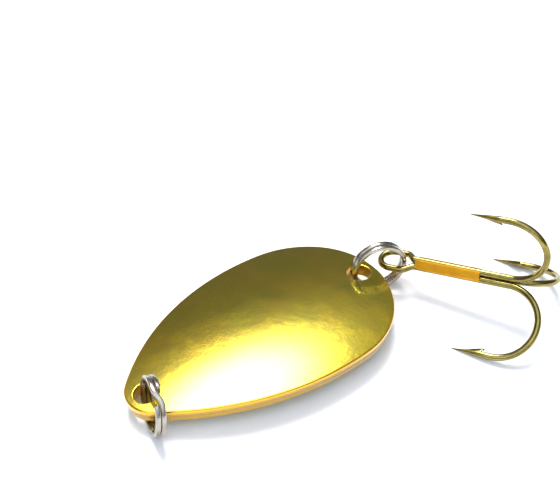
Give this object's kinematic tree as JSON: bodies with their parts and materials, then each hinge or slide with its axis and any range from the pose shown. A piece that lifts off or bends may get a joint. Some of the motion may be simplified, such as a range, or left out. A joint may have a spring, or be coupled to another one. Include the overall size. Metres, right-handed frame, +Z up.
{
  "type": "spoon lure",
  "caption": "Egg-shaped domed metal spoon lure with a split ring at each end and a brazed treble hook on the rear ring.",
  "frame": {"origin": "on the resting plane, under the middle of the whole lure's box", "axes": "+X from the blade's narrow head to its wide tail, +Z up from the plane the lure lies on"},
  "size_m": [0.0752, 0.0446, 0.0213],
  "materials": {
    "gold_plate": "polished",
    "nickel_wire": "polished",
    "bronzed_wire": "polished",
    "orange_braze": "satin"
  },
  "bodies": {
    "blade": {"spoon_blade": "gold_plate"},
    "front_ring": {"front_split_ring": "nickel_wire"},
    "rear_ring": {"rear_split_ring": "nickel_wire"},
    "treble": {"treble_double_hook": "bronzed_wire", "treble_single_hook": "bronzed_wire", "treble_braze_right": "orange_braze", "treble_braze_left": "orange_braze", "treble_braze_under": "orange_braze"}
  },
  "joints": [
    {"name": "front_ring_swing", "type": "hinge", "parent": "blade", "child": "front_ring", "pos_m": [-0.03429, 0.0069, 0.00299], "axis": [0, 0, 1], "range_deg": [-150, 10]},
    {"name": "rear_ring_swing", "type": "hinge", "parent": "blade", "child": "rear_ring", "pos_m": [0.009, 0.0069, 0.0033], "axis": [0, 0, 1], "range_deg": [-8, 40]},
    {"name": "treble_swing", "type": "hinge", "parent": "rear_ring", "child": "treble", "pos_m": [0.01666, 0.00426, 0.00492], "axis": [0, 0, 1], "range_deg": [-30, 28]}
  ]
}
